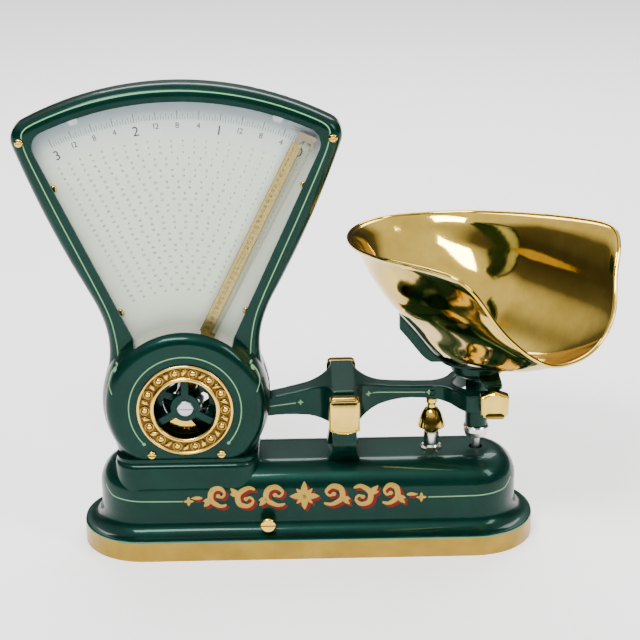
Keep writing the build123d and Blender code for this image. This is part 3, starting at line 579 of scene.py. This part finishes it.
def paint_scroll(paint, way, start, flip, reach, shift):
    """One scroll beside the middle: way is its side, flip which way up, reach its length."""
    middle_x, middle_z = SCROLL_MIDDLE
    scroll = [(start, -7 * flip), (start + 0.30 * reach, -8.2 * flip), (start + 0.66 * reach, -2.5 * flip),
              (start + 0.62 * reach, 6.2 * flip), (start + 0.30 * reach, 8.6 * flip),
              (start + 0.08 * reach, 4.2 * flip), (start + 0.20 * reach, 0.2 * flip),
              (start + 0.36 * reach, 1.8 * flip)]
    path = curve_through([(middle_x + way * u, middle_z + v) for u, v in scroll], 0.8)
    paint.stroke(path, 5.2, scroll_width, shift)
    for spread in (18, 52):
        paint.leaf(middle_x + way * (start + 0.66 * reach), middle_z - 2 * flip, 10.5 - 0.06 * spread, 4.6,
                   90 - way * (90 - flip * (spread - 62)), shift)
    paint.dot(middle_x + way * (start + 0.36 * reach), middle_z + 1.6 * flip, 2.0, shift)


def paint_ornament(side, end):
    """Scrollwork in gold leaf with a red drop shadow, in a band across the base."""
    middle_x, middle_z = SCROLL_MIDDLE
    for layer, material, lift, shift in (("shadow", RED, 0.05, (2.2 * -side, -2.2)),
                                         ("leaf", GOLD, 0.16, (0, 0))):
        paint = Paint(surface(nodes["base"].data), side, lift)
        for heading in (0, 90, 180, 270):
            paint.leaf(middle_x, middle_z, 13, 6.4, heading, shift)
            paint.leaf(middle_x, middle_z, 10, 4.2, heading + 45, shift)
        paint.dot(middle_x, middle_z, 3.2, shift)
        for way in (-1, 1):
            for k, (start, flip) in enumerate(SCROLLS):
                paint_scroll(paint, way, start, flip, 24 - 2 * k, shift)
            paint.leaf(middle_x + way * 89, middle_z, 10, 3.4, 90 - way * 90, shift)
        paint.done(f"base_{layer}_{end}", material, "stand", "enamel")


for side, end in SIDES:
    paint_cover(side, end)
    paint_base(side, end)
    paint_lever(side, end)
    paint_ornament(side, end)


# ---------------------------------------------------------------- printed charts and indexes
def digit_shapes():
    """Each digit's flat mesh, one unit tall, and its width."""
    shapes = {}
    for figure in "0123456789":
        text = bpy.data.curves.new("figure", "FONT")
        text.body = figure
        holder = bpy.data.objects.new("figure", text)
        mesh = bpy.data.meshes.new_from_object(holder)
        low = min(v.co.y for v in mesh.vertices)
        tall = max(v.co.y for v in mesh.vertices) - low
        left = min(v.co.x for v in mesh.vertices)
        points = [((v.co.x - left) / tall, (v.co.y - low) / tall) for v in mesh.vertices]
        shapes[figure] = (points, [tuple(p.vertices) for p in mesh.polygons], max(p[0] for p in points))
        bpy.data.objects.remove(holder)
    return shapes


DIGITS = digit_shapes()
DIGIT_GAP = 0.16  # of a digit's height


class Sheet:
    """Flat printing on a plate at one depth, read from -Y (side -1) or from +Y (side 1)."""

    def __init__(self, side, depth):
        self.side, self.depth = side, depth
        self.verts, self.faces = [], []

    def put(self, points, faces, radius, angle, size):
        """Place a flat shape about a point given by radius and angle from straight up."""
        a = radians(angle)
        cx, cz = HUB[0] + radius * sin(a), HUB[1] + radius * cos(a)
        base = len(self.verts)
        for u, v in points:
            x, z = -self.side * u * size, v * size
            spot = (cx + x * cos(a) + z * sin(a), self.side * self.depth, cz - x * sin(a) + z * cos(a))
            self.verts.append(spot)
        self.faces += [tuple(base + k for k in face) for face in faces]

    def outline(self, points, angle):
        """One flat face drawn from the hub, along the line at an angle from straight up."""
        self.put(points, [tuple(range(len(points)))], 0, angle, 1)

    def number(self, value, radius, angle, size):
        """A number with its middle at a radius and angle."""
        label = str(value)
        total = sum(DIGITS[c][2] for c in label) + DIGIT_GAP * (len(label) - 1)
        left = -total / 2
        for c in label:
            points, faces, width = DIGITS[c]
            self.put([(u + left, v - 0.5) for u, v in points], faces, radius, angle, size)
            left += width + DIGIT_GAP

    def bar(self, radius, angle, wide, tall):
        """A tick of the scale."""
        self.put([(-wide / 2, -tall / 2), (wide / 2, -tall / 2), (wide / 2, tall / 2), (-wide / 2, tall / 2)],
                 [(0, 1, 2, 3)], radius, angle, 1)

    def done(self, name, material, body, slot_name):
        """The printing as one piece."""
        return make(name, self.verts, self.faces, material, body, smooth=False)


def half_width(radius):
    """Half angle in degrees that the print may fill at a radius, clear of the fan's legs."""
    leg = FAN_NECK_HALF + (radius - FAN_NECK_RADIUS) * FAN_SLOPE
    return min(PRINT_LIMIT, leg / radius * 180 / pi - PRINT_MARGIN)


def print_scale(side, end):
    """Pounds and quarters along the top, with a tick at each half ounce."""
    sheet = Sheet(side, LARGE_PRINT_DEPTH)
    for k in range(QUARTERS + 1):
        angle = SCALE_END - QUARTER_ANGLE * k
        if k % 4 == 0:
            sheet.number(k // 4, 240, angle, 8.0)
        else:
            sheet.number(4 * (k % 4), 242.4, angle, 4.7)
    for k in range(8 * QUARTERS + 1):
        tall = 7.5 if k % 8 == 0 else 5.0 if k % 2 == 0 else 3.2
        sheet.bar(251 + tall / 2 - 3.7, SCALE_END - QUARTER_ANGLE * k / 8, 0.34 if k % 8 else 0.5, tall)
    sheet.done("dial_figures_" + end, INK, "stand", "printed_chart")


def print_prices(side, end):
    """Rows of small price figures, each the weight times its row's price."""
    sheet = Sheet(side, SMALL_PRINT_DEPTH)
    for row in range(PRICE_ROWS):
        radius = PRICE_START + PRICE_PITCH * row
        limit = half_width(radius)
        columns = int(2 * limit / 3.3 * radius / 170) + 1
        for k in range(columns + 1):
            angle = limit - 2 * limit * k / columns
            weight = (SCALE_END - angle) / PRICE_POUND
            sheet.number(max(1, round(weight * (TOP_PRICE - row))), radius, angle, 2.0)
    sheet.done("price_figures_" + end, PALE_INK, "stand", "printed_chart")


def index_figures(side, end):
    """A column of figures on the gold strip, and the thin lines along the index."""
    marks = Sheet(side, 7.5)
    tall = 2.9
    for k in range(36):
        radius = 67 + 5.0 * k
        left = -10.6 + (radius - 67) * 0.0285
        for c in str(40 - k if k < 31 else 19 - k // 2):
            points, faces, width = DIGITS[c]
            spots = [(u * tall + left, (v - 0.5) * tall + radius) for u, v in points]
            marks.put(spots, faces, 0, INDEX_REST, 1)
            left += (width + DIGIT_GAP) * tall
    for x0, x1, wide in ((-13.3, -7.5, 0.4), (-3.6, 1.2, 0.4), (0.2, 9.6, 0.22), (-1.0, 8.4, 0.22)):
        marks.outline([(x0 - wide / 2, INDEX_FOOT), (x0 + wide / 2, INDEX_FOOT), (x1 + wide / 2, 248),
                       (x1 - wide / 2, 248)], INDEX_REST)
    marks.done("index_figures_" + end, DARK_INK, "pendulum", "index_plate")


def index_arch(side, end):
    """A bronze arch over the index's tip: a top and two legs, each a short piece of a ring."""
    arch = Sheet(side, 7.6)
    for low, high, first, last in ((251.5, 258, -1.3, 2.3), (246, 251.5, -1.5, -0.55),
                                   (245, 251.5, 1.75, 2.4)):
        turns = [radians(first + (last - first) * k / 6) for k in range(7)]
        band = [(low * sin(a), low * cos(a)) for a in turns]
        band += [(high * sin(a), high * cos(a)) for a in reversed(turns)]
        arch.put(band, [(k, k + 1, 12 - k, 13 - k) for k in range(6)], 0, INDEX_REST, 1)
    arch.done("index_arch_" + end, ARCH, "pendulum", "index_plate")


def make_index(side, end):
    """The index: a gold strip with figures, a clear part beside it, an arch over its tip and its arm."""
    strip = Sheet(side, 7.4)
    strip.outline([(-13.2, INDEX_FOOT), (-3.6, INDEX_FOOT), (1.2, 247.5), (-7.4, 247.5)], INDEX_REST)
    gold = strip.done("index_strip_" + end, INDEX_GOLD, "pendulum", "index_plate")
    index_figures(side, end)
    index_arch(side, end)
    pane = Sheet(side, 7.2)
    pane.outline([(-3.4, INDEX_FOOT), (0.4, INDEX_FOOT), (9.8, 251), (1.4, 251)], INDEX_REST)
    pane.done("index_pane_" + end, CLEAR, "pendulum", "index_plate")
    arm = Sheet(side, 7.0)
    arm.outline([(-4, 9), (4, 9), (4, 46), (0, 64), (-13.2, 64), (-8, 50), (-4, 40)], INDEX_REST)
    arm.done("index_arm_" + end, INDEX_GOLD, "pendulum", "index_plate")
    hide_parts("index_" + end)


for side, end in SIDES:
    print_scale(side, end)
    print_prices(side, end)
    make_index(side, end)


# ---------------------------------------------------------------- embossed rings
def relief(turn, radius):
    """How far the ring's pattern rises at a turn and radius: two beads, with bosses and leaves between."""
    if radius <= RING_INNER:
        return 1.4
    if radius < INNER_BEAD_END:
        return 1.5 + 1.3 * sin(pi * (radius - RING_INNER) / 3.6) ** 0.6
    if radius > OUTER_BEAD_START:
        return 1.2 + 1.1 * max(0.0, sin(pi * min(1.0, (radius - OUTER_BEAD_START) / 2.7))) ** 0.6
    cell = (turn * RING_BOSSES / (2 * pi)) % 1.0 - 0.5
    along, off = cell * 2 * pi / RING_BOSSES * radius, radius - BOSS_RADIUS
    boss = max(0.0, 1 - (along ** 2 + off ** 2) / 2.5 ** 2) ** 0.5
    collar = max(0.0, 1 - abs(sqrt(along ** 2 + off ** 2) - 3.7) / 0.75)
    gap = abs(along) - 7.7
    slant = 1.6 * gap * (1 if cell > 0 else -1) / 2
    leaf = max(0.0, 1 - (gap / 2.3) ** 2 - ((off - slant) / 3.2) ** 2) ** 0.6
    return 0.7 + 1.9 * boss + 0.9 * collar + 1.3 * leaf


def embossed_ring(side, end):
    """A pressed brass ring round the round window, flat at the back."""
    radii = [RING_INNER, RING_INNER, 27.1, 27.9, 28.8, 29.5, 30.2] + [30.8 + 0.4 * k for k in range(20)]
    radii += [38.9, 39.3, 39.8, 40.3, 40.8, 41.3, RING_OUTER, RING_OUTER]
    rows = len(radii)
    verts, faces = [], []
    for i in range(RING_STEPS):
        turn = 2 * pi * i / RING_STEPS
        for j, radius in enumerate(radii):
            rise = 0.0 if j in (0, rows - 1) else min(relief(turn, radius), RING_HIGHEST)
            x, z = HUB[0] + radius * sin(turn), HUB[1] + radius * cos(turn)
            verts.append((x, side * (RING_SEAT + rise), z))
        here, ahead = i * rows, ((i + 1) % RING_STEPS) * rows
        for j in range(rows):
            k = (j + 1) % rows
            quad = (here + j, here + k, ahead + k, ahead + j)
            faces.append(quad if side < 0 else quad[::-1])
    ring = make("embossed_ring_" + end, verts, faces, EMBOSSED, "stand")
    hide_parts("bezel_ring_" + end)


for side, end in SIDES:
    embossed_ring(side, end)


# ---------------------------------------------------------------- scoop with a rolled rim
def level_at(height):
    """Back, ahead and half sizes of the bowl's section at a height, along a smooth curve."""
    last = len(SCOOP_LEVELS) - 1
    k = max(i for i in range(last) if SCOOP_LEVELS[i][0] <= height + 1e-9)
    below, low, high, above = (SCOOP_LEVELS[min(last, max(0, i))] for i in range(k - 1, k + 3))
    span = high[0] - low[0]
    t = (height - low[0]) / span
    out = []
    for c in (1, 2, 3):
        slope_a = (high[c] - below[c]) / max(1e-6, high[0] - below[0]) * span
        slope_b = (above[c] - low[c]) / max(1e-6, above[0] - low[0]) * span
        out.append(low[c] * (2 * t ** 3 - 3 * t * t + 1) + slope_a * (t ** 3 - 2 * t * t + t)
                   + high[c] * (3 * t * t - 2 * t ** 3) + slope_b * (t ** 3 - t * t))
    return out


def bowl_point(share, height):
    """Point on the bowl's outer face: share runs 0 to 1 once round, from the left side forwards."""
    back, ahead, half = (size - 0.5 for size in level_at(height))
    quarter = share * 4 % 4
    if quarter < 2:
        mirrored = 1 if quarter < 1 else -1
        t = quarter if quarter < 1 else 2 - quarter
        pull = 0.75
        u = 3 * (1 - t) ** 2 * t * pull * ahead + 3 * (1 - t) * t * t * ahead + t ** 3 * ahead
        v = -((1 - t) ** 3 * half + 3 * (1 - t) ** 2 * t * half + 3 * (1 - t) * t * t * pull * half)
        return u, v * mirrored
    a = pi / 2 + (quarter - 2) * pi / 2
    return back * cos(a), half * sin(a)


def inside_cut(u, z):
    """True below the rim's side outline and behind the mouth's."""
    if u >= SCOOP_RIM[-1][0]:
        return False
    if z <= SCOOP_RIM[-1][1]:
        return True
    for (u0, z0), (u1, z1) in zip(SCOOP_RIM, SCOOP_RIM[1:]):
        if u0 <= u <= u1:
            return z <= z0 + (z1 - z0) * (u - u0) / max(1e-6, u1 - u0)
    return z <= SCOOP_RIM[0][1]


def rim_height(share):
    """Height over the floor where the rim cuts the bowl: coarse steps up to it, then halving."""
    steps = 59
    low, high = 0.0, SCOOP_TOP_LEVEL
    for step in range(1, steps + 1):
        level = SCOOP_TOP_LEVEL * step / steps
        if not inside_cut(bowl_point(share, level)[0], SCOOP_FLOOR + level):
            low, high = SCOOP_TOP_LEVEL * (step - 1) / steps, level
            break
    for _ in range(14):
        middle = (low + high) / 2
        if inside_cut(bowl_point(share, middle)[0], SCOOP_FLOOR + middle):
            low = middle
        else:
            high = middle
    return low


def drawn_in(value, limit, band=14.0, over=2.9):
    """The value, eased back over the last band before a limit that it would pass by no more than over."""
    past = value - (limit - band)
    return value if past <= 0 else value - over * (past / (band + over)) ** 2


def in_row(u, v, z):
    """A point of the scoop in the row frame, held inside the CAD scoop's box by the bead's radius."""
    x = SCOOP_MIDDLE + u * ALONG[0] + v * ACROSS[0]
    y = u * ALONG[1] + v * ACROSS[1]
    x = drawn_in(x, SCOOP_HIGH[0] / MM - BEAD)
    y = drawn_in(y, SCOOP_HIGH[1] / MM - BEAD)
    y = -drawn_in(-y, -SCOOP_LOW[1] / MM - BEAD)
    return Vector((x, y, z))


def bowl_columns():
    """The bowl's outer face as columns of points from floor to rim, its lip drawn in and then flared."""
    shares = [k / SCOOP_COLUMNS for k in range(SCOOP_COLUMNS)]
    heights = [rim_height(share) for share in shares]
    for _ in range(3):
        heights = [(heights[k - 1] + 2 * heights[k] + heights[(k + 1) % SCOOP_COLUMNS]) / 4
                   for k in range(SCOOP_COLUMNS)]
    columns = []
    for share, top in zip(shares, heights):
        column = []
        for j in range(SCOOP_ROWS + 1):
            h = (j / SCOOP_ROWS) ** 1.25 * top
            u, v = bowl_point(share, h)
            lip = min(1.0, max(0.0, (SCOOP_FLOOR + h - LIP_START) / LIP_BAND))
            reach = sqrt(u * u + v * v)
            flare = max(0.0, (h - top + FLARE_BAND) / FLARE_BAND) ** 2
            shrink = LIP_IN * lip - LIP_OUT * flare * lip
            column.append(in_row(u - shrink * u / reach, v - shrink * v / reach, SCOOP_FLOOR + h))
        columns.append(column)
    return columns


def scoop_bowl(columns):
    """The bowl's sheet, thickened inwards, in place of the CAD scoop."""
    verts = [tuple(p) for column in columns for p in column]
    rows = SCOOP_ROWS + 1
    middle = len(verts)
    verts.append(tuple(in_row(4, 0, SCOOP_FLOOR)))
    faces = []
    for k in range(SCOOP_COLUMNS):
        a, b = k * rows, ((k + 1) % SCOOP_COLUMNS) * rows
        faces += [(a + j, b + j, b + j + 1, a + j + 1) for j in range(SCOOP_ROWS)]
    faces += [(middle, ((k + 1) % SCOOP_COLUMNS) * rows, k * rows) for k in range(SCOOP_COLUMNS)]
    sheet = bpy.data.meshes.new("scoop_sheet")
    sheet.from_pydata([tuple(c * MM for c in v) for v in verts], [], faces)
    draft = on_screen(bpy.data.objects.new("scoop_draft", sheet))
    wall = draft.modifiers.new("wall", "SOLIDIFY")
    wall.thickness = SCOOP_WALL * MM
    wall.offset = -1
    bpy.context.view_layer.update()
    mesh = bpy.data.meshes.new_from_object(draft.evaluated_get(bpy.context.evaluated_depsgraph_get()))
    bpy.data.objects.remove(draft)
    mesh.materials.clear()
    mesh.materials.append(SCOOP_BRASS)
    for face in mesh.polygons:
        face.use_smooth = True
    scoop = on_screen(bpy.data.objects.new("scoop_bowl", mesh))
    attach(scoop, "loose_scoop")
    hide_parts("scoop")


def scoop_rim(columns):
    """The rolled bead along the bowl's edge."""
    edge = [column[-1] for column in columns]
    verts, faces = [], []
    for k in range(SCOOP_COLUMNS):
        ahead = (edge[(k + 1) % SCOOP_COLUMNS] - edge[k - 1]).normalized()
        out = (columns[k][-1] - columns[k][-3]).normalized()
        out = (out - ahead * out.dot(ahead)).normalized()
        up = ahead.cross(out)
        for m in range(BEAD_SIDES):
            a = 2 * pi * m / BEAD_SIDES
            verts.append(tuple(edge[k] - out * 0.3 + (out * cos(a) + up * sin(a)) * BEAD))
        here, there = k * BEAD_SIDES, ((k + 1) % SCOOP_COLUMNS) * BEAD_SIDES
        for m in range(BEAD_SIDES):
            n = (m + 1) % BEAD_SIDES
            faces.append((here + m, here + n, there + n, there + m))
    make("scoop_rim", verts, faces, SCOOP_BRASS, "loose_scoop")


scoop_columns = bowl_columns()
scoop_bowl(scoop_columns)
scoop_rim(scoop_columns)


# ---------------------------------------------------------------- floor, light, camera
def white_floor():
    """A plain pale floor, lit a little from within so that it stays even."""
    mesh = bpy.data.meshes.new("floor")
    tool = bmesh.new()
    bmesh.ops.create_grid(tool, x_segments=2, y_segments=2, size=6)
    tool.to_mesh(mesh)
    tool.free()
    paint = Nodes("floor_white")
    mesh.materials.append(paint.set(base=(0.93, 0.93, 0.93), rough=0.7, glow=0.5, glow_tint=(1, 1, 1)))
    return on_screen(bpy.data.objects.new("floor", mesh))


def studio_world():
    """A bright ceiling over dark walls, for soft reflections."""
    world = bpy.data.worlds.new("studio")
    bpy.context.scene.world = world
    world.use_nodes = True
    tree = world.node_tree
    place = tree.nodes.new("ShaderNodeTexCoord")
    split = tree.nodes.new("ShaderNodeSeparateXYZ")
    tree.links.new(place.outputs["Generated"], split.inputs[0])
    ramp = tree.nodes.new("ShaderNodeValToRGB")
    ramp.color_ramp.elements[0].position = 0.0
    ramp.color_ramp.elements[0].color = (0.04, 0.04, 0.04, 1)
    ramp.color_ramp.elements[1].position = 1.0
    ramp.color_ramp.elements[1].color = (1.0, 1.0, 1.0, 1)
    for height, level in ((0.22, 0.05), (0.42, 0.12), (0.60, 0.85)):
        ramp.color_ramp.elements.new(height).color = (level, level, level, 1)
    tree.links.new(split.outputs[2], ramp.inputs[0])
    tree.links.new(ramp.outputs[0], tree.nodes["Background"].inputs[0])
    tree.nodes["Background"].inputs[1].default_value = 1.25


def area(name, place, aim, size, power):
    """A rectangular lamp at a place, turned towards a point."""
    light = bpy.data.lights.new(name, "AREA")
    light.shape = "RECTANGLE"
    light.size, light.size_y = size
    light.energy = power
    lamp = on_screen(bpy.data.objects.new(name, light))
    lamp.location = place
    lamp.rotation_euler = (Vector(aim) - Vector(place)).to_track_quat("-Z", "Y").to_euler()


def main_camera():
    """A long lens in front of the scale, a little above it and turned a degree."""
    pitch, yaw, roll = radians(20.666), radians(1.054), radians(0.622)
    turn = Matrix.Rotation(-yaw, 3, "Z")
    ahead = turn @ Vector((0, cos(pitch), -sin(pitch)))
    right = turn @ Vector((1, 0, 0))
    down = ahead.cross(right)
    tilt_right = cos(roll) * right + sin(roll) * down
    tilt_down = cos(roll) * down - sin(roll) * right
    view = Matrix((tilt_right, -tilt_down, -ahead)).transposed().to_4x4()
    view.translation = Vector((-15.0, -1464.1, 753.4)) * MM
    lens = bpy.data.cameras.new("camera")
    lens.sensor_width = 36
    lens.lens = 101.80125
    camera = on_screen(bpy.data.objects.new("camera", lens))
    camera.matrix_world = view
    bpy.context.scene.camera = camera


white_floor()
studio_world()
area("key", (-0.5, -1.1, 1.7), (0, 0, 0.15), (0.9, 0.45), 52)
area("fill", (1.4, -0.9, 1.3), (0, 0, 0.2), (0.4, 0.8), 20)
area("back", (0.2, 1.6, 1.7), (0, 0, 0.1), (2.2, 0.8), 55)
main_camera()
